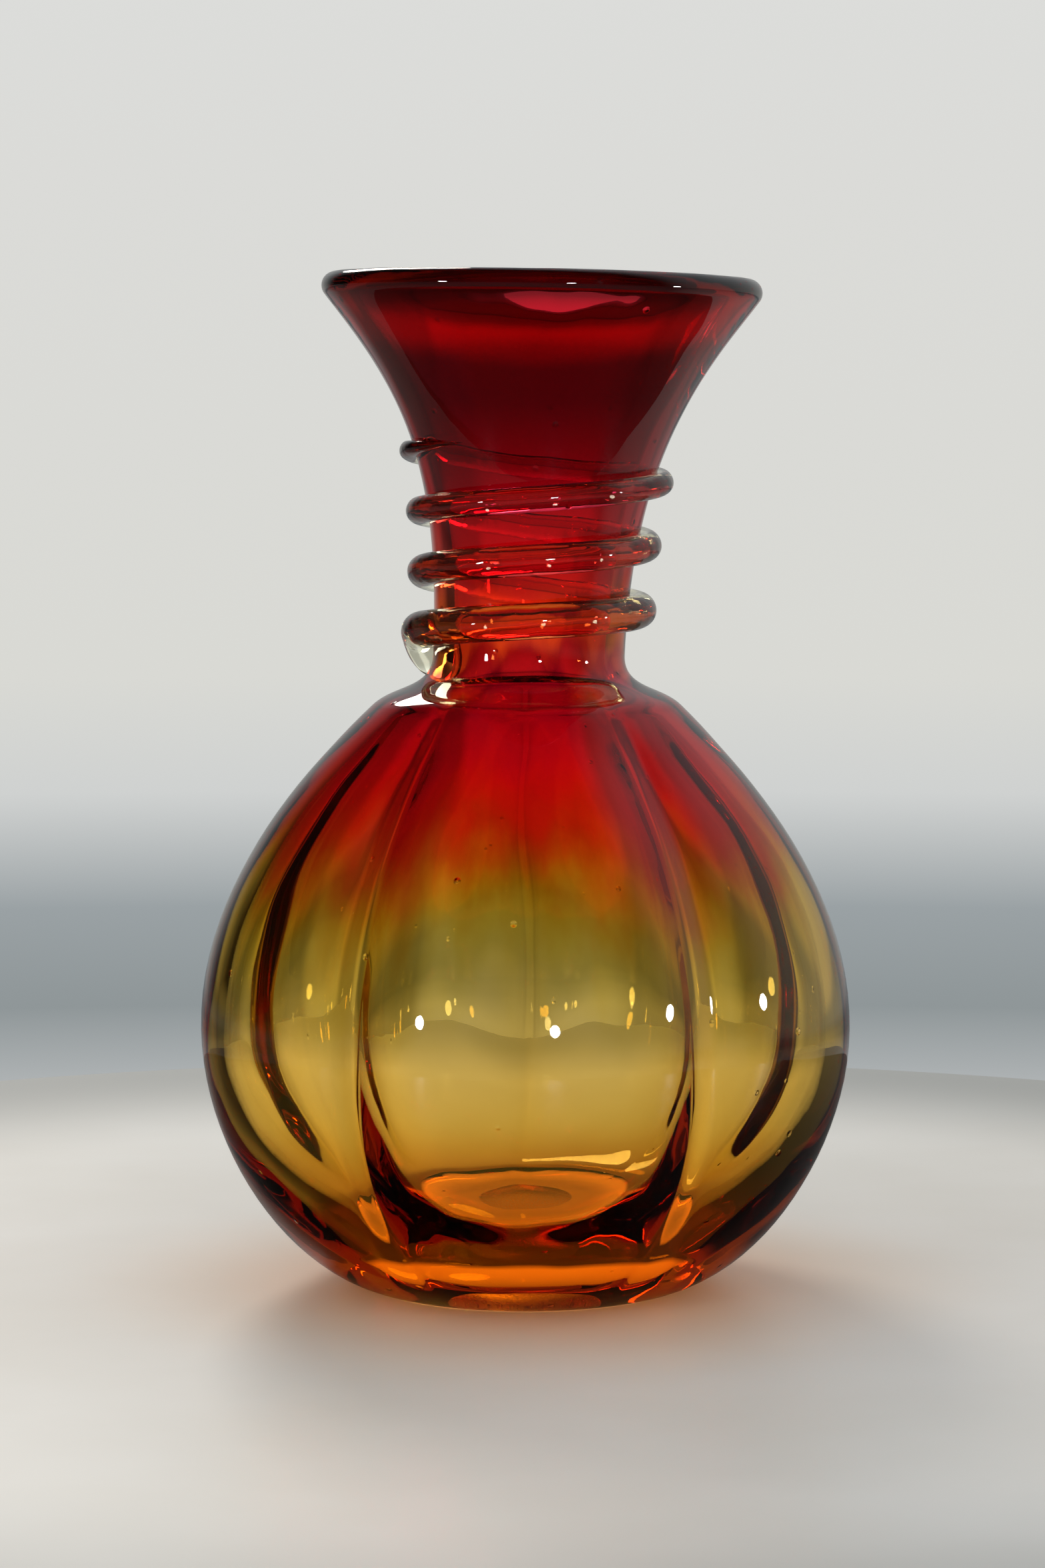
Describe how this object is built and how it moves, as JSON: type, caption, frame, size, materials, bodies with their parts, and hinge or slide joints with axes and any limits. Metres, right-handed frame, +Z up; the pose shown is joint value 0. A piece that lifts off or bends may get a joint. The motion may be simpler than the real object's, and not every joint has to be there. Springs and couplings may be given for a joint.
{
  "type": "vase",
  "caption": "Round lobed bottle vase of amber glass shading to ruby, with a slim neck, a flared mouth and a clear glass trail wound round the neck.",
  "frame": {"origin": "centre of the foot, on the plane the vase stands on", "axes": "+Z up through the neck; -Y is the front, where one lobe faces out and the trail rises from left to right; +X is to the right seen from the front"},
  "size_m": [0.1136, 0.1121, 0.1777],
  "materials": {
    "vessel_glass": "transparent blown glass, amber struck to ruby towards the neck, fire polished",
    "trail_glass": "transparent, nearly colourless with a pale straw tint, fire polished"
  },
  "bodies": {
    "root": {"blown_vessel": "vessel_glass", "neck_trail": "trail_glass"}
  },
  "joints": []
}
